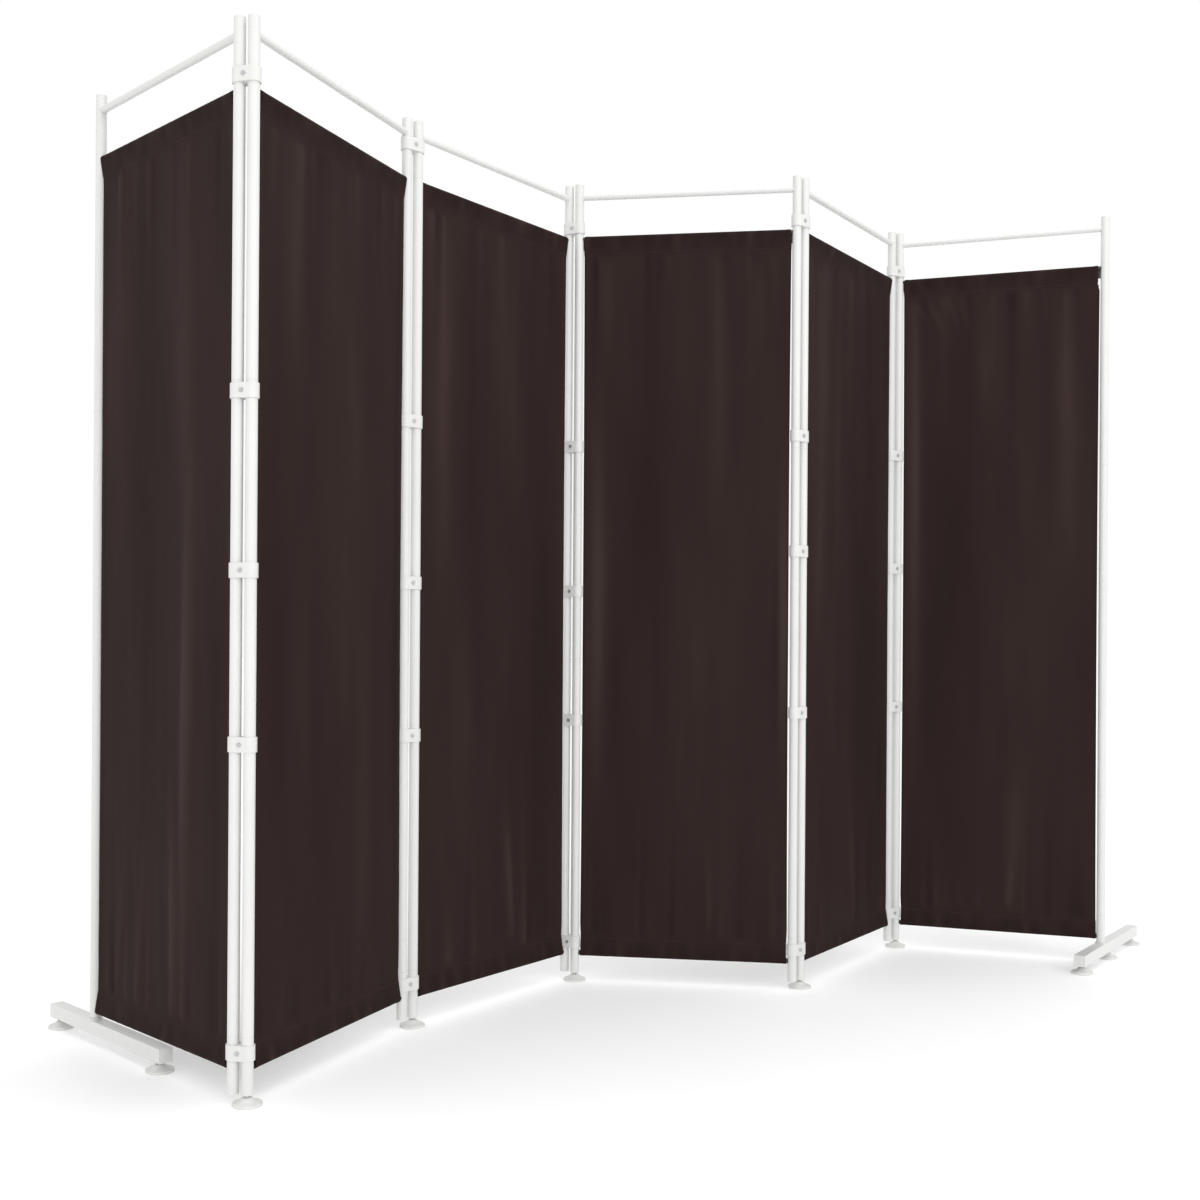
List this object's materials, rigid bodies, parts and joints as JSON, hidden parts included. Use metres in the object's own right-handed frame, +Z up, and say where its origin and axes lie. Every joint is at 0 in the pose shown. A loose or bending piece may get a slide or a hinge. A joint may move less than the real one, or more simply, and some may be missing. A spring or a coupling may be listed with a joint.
{
  "type": "folding privacy screen",
  "caption": "Folding privacy screen: dark cloth panels in white tube frames, hinged in a chain by double-ring clips, standing on levelling pads and turning foot bars.",
  "frame": {"origin": "on the floor under the middle of the bounding box as the screen stands in the picture", "axes": "+Z up, +X along the line from the left outer post to the right outer post, +Y away from the viewer"},
  "size_m": [2.477, 0.7458, 1.715],
  "materials": {
    "white_powder_coat": "satin white powder coat on steel tube",
    "white_moulding": "smooth white moulded plastic",
    "brown_cloth": "woven polyester, dark brown",
    "black_moulding": "black moulded plastic",
    "dark_zinc": "dark zinc plate"
  },
  "bodies": {
    "panel_1": {"panel_1_left_post": "white_powder_coat", "panel_1_right_post": "white_powder_coat", "panel_1_top_rail": "white_powder_coat", "panel_1_hem_rods": "black_moulding", "panel_1_cloth": "brown_cloth", "panel_1_post_caps": "white_moulding"},
    "panel_2": {"panel_2_left_post": "white_powder_coat", "panel_2_right_post": "white_powder_coat", "panel_2_top_rail": "white_powder_coat", "panel_2_hem_rods": "black_moulding", "panel_2_cloth": "brown_cloth", "panel_2_post_caps": "white_moulding"},
    "panel_3": {"panel_3_left_post": "white_powder_coat", "panel_3_right_post": "white_powder_coat", "panel_3_top_rail": "white_powder_coat", "panel_3_hem_rods": "black_moulding", "panel_3_cloth": "brown_cloth", "panel_3_post_caps": "white_moulding"},
    "panel_4": {"panel_4_left_post": "white_powder_coat", "panel_4_right_post": "white_powder_coat", "panel_4_top_rail": "white_powder_coat", "panel_4_hem_rods": "black_moulding", "panel_4_cloth": "brown_cloth", "panel_4_post_caps": "white_moulding"},
    "panel_5": {"panel_5_left_post": "white_powder_coat", "panel_5_right_post": "white_powder_coat", "panel_5_top_rail": "white_powder_coat", "panel_5_hem_rods": "black_moulding", "panel_5_cloth": "brown_cloth", "panel_5_post_caps": "white_moulding"},
    "panel_6": {"panel_6_left_post": "white_powder_coat", "panel_6_right_post": "white_powder_coat", "panel_6_top_rail": "white_powder_coat", "panel_6_hem_rods": "black_moulding", "panel_6_cloth": "brown_cloth", "panel_6_post_caps": "white_moulding"},
    "hinge_1": {"hinge_1_clip_halves": "white_moulding", "hinge_1_clip_screws": "dark_zinc"},
    "hinge_2": {"hinge_2_clip_halves": "white_moulding", "hinge_2_clip_screws": "dark_zinc"},
    "hinge_3": {"hinge_3_clip_halves": "white_moulding", "hinge_3_clip_screws": "dark_zinc"},
    "hinge_4": {"hinge_4_clip_halves": "white_moulding", "hinge_4_clip_screws": "dark_zinc"},
    "hinge_5": {"hinge_5_clip_halves": "white_moulding", "hinge_5_clip_screws": "dark_zinc"},
    "left_foot": {"left_foot_bar": "white_powder_coat", "left_foot_bar_caps": "white_moulding"},
    "right_foot": {"right_foot_bar": "white_powder_coat", "right_foot_bar_caps": "white_moulding"},
    "hinge_1_pad": {"hinge_1_pad": "white_moulding"},
    "hinge_2_pad": {"hinge_2_pad": "white_moulding"},
    "hinge_3_pad": {"hinge_3_pad": "white_moulding"},
    "hinge_4_pad": {"hinge_4_pad": "white_moulding"},
    "hinge_5_pad": {"hinge_5_pad": "white_moulding"},
    "left_foot_pad_1": {"left_foot_pad_1": "white_moulding"},
    "left_foot_pad_2": {"left_foot_pad_2": "white_moulding"},
    "right_foot_pad_1": {"right_foot_pad_1": "white_moulding"},
    "right_foot_pad_2": {"right_foot_pad_2": "white_moulding"},
    "right_foot_pad_3": {"right_foot_pad_3": "white_moulding"}
  },
  "joints": [
    {"name": "hinge_3_left_ring", "type": "hinge", "parent": "hinge_3", "child": "panel_3", "pos_m": [-0.20243, 0.27888, 0], "axis": [0, 0, 1], "range_deg": [-170, 10]},
    {"name": "hinge_3_right_ring", "type": "hinge", "parent": "hinge_3", "child": "panel_4", "pos_m": [-0.18476, 0.26121, 0], "axis": [0, 0, -1], "range_deg": [-71.5, 108.5]},
    {"name": "hinge_4_left_ring", "type": "hinge", "parent": "panel_4", "child": "hinge_4", "pos_m": [0.23139, 0.05373, 0], "axis": [0, 0, 1], "range_deg": [-140.5, 39.5]},
    {"name": "hinge_4_right_ring", "type": "hinge", "parent": "hinge_4", "child": "panel_5", "pos_m": [0.25423, 0.06389, 0], "axis": [0, 0, 1], "range_deg": [-103, 77]},
    {"name": "hinge_5_left_ring", "type": "hinge", "parent": "panel_5", "child": "hinge_5", "pos_m": [0.62559, 0.34374, 0], "axis": [0, 0, -1], "range_deg": [-115, 65]},
    {"name": "hinge_5_right_ring", "type": "hinge", "parent": "hinge_5", "child": "panel_6", "pos_m": [0.65005, 0.34894, 0], "axis": [0, 0, -1], "range_deg": [-138.5, 41.5]},
    {"name": "hinge_2_right_ring", "type": "hinge", "parent": "panel_3", "child": "hinge_2", "pos_m": [-0.58334, 0.01217, 0], "axis": [0, 0, -1], "range_deg": [-101, 79]},
    {"name": "hinge_2_left_ring", "type": "hinge", "parent": "hinge_2", "child": "panel_2", "pos_m": [-0.60618, 0.002, 0], "axis": [0, 0, -1], "range_deg": [-65, 115]},
    {"name": "hinge_1_right_ring", "type": "hinge", "parent": "panel_2", "child": "hinge_1", "pos_m": [-0.91125, -0.34894, 0], "axis": [0, 0, 1], "range_deg": [-9, 171]},
    {"name": "hinge_1_left_ring", "type": "hinge", "parent": "hinge_1", "child": "panel_1", "pos_m": [-0.93245, -0.33569, 0], "axis": [0, 0, 1], "range_deg": [-60, 120]},
    {"name": "left_foot_swivel", "type": "hinge", "parent": "panel_1", "child": "left_foot", "pos_m": [-1.15075, 0.07488, 0], "axis": [0, 0, 1], "range_deg": [0, 180]},
    {"name": "right_foot_swivel", "type": "hinge", "parent": "panel_6", "child": "right_foot", "pos_m": [1.02384, 0.07234, 0], "axis": [0, 0, 1], "range_deg": [-72, 108]},
    {"name": "hinge_1_pad_screw", "type": "slide", "parent": "panel_2", "child": "hinge_1_pad", "axis": [0, 0, -1], "range_m": [0, 0.012]},
    {"name": "hinge_2_pad_screw", "type": "slide", "parent": "panel_3", "child": "hinge_2_pad", "axis": [0, 0, -1], "range_m": [0, 0.012]},
    {"name": "hinge_3_pad_screw", "type": "slide", "parent": "panel_4", "child": "hinge_3_pad", "axis": [0, 0, -1], "range_m": [0, 0.012]},
    {"name": "hinge_4_pad_screw", "type": "slide", "parent": "panel_5", "child": "hinge_4_pad", "axis": [0, 0, -1], "range_m": [0, 0.012]},
    {"name": "hinge_5_pad_screw", "type": "slide", "parent": "panel_6", "child": "hinge_5_pad", "axis": [0, 0, -1], "range_m": [0, 0.012]},
    {"name": "left_foot_pad_1_screw", "type": "slide", "parent": "left_foot", "child": "left_foot_pad_1", "axis": [0, 0, -1], "range_m": [0, 0.012]},
    {"name": "left_foot_pad_2_screw", "type": "slide", "parent": "left_foot", "child": "left_foot_pad_2", "axis": [0, 0, -1], "range_m": [0, 0.012]},
    {"name": "right_foot_pad_1_screw", "type": "slide", "parent": "right_foot", "child": "right_foot_pad_1", "axis": [0, 0, -1], "range_m": [0, 0.012]},
    {"name": "right_foot_pad_2_screw", "type": "slide", "parent": "right_foot", "child": "right_foot_pad_2", "axis": [0, 0, -1], "range_m": [0, 0.012]},
    {"name": "right_foot_pad_3_screw", "type": "slide", "parent": "right_foot", "child": "right_foot_pad_3", "axis": [0, 0, -1], "range_m": [0, 0.012]}
  ]
}
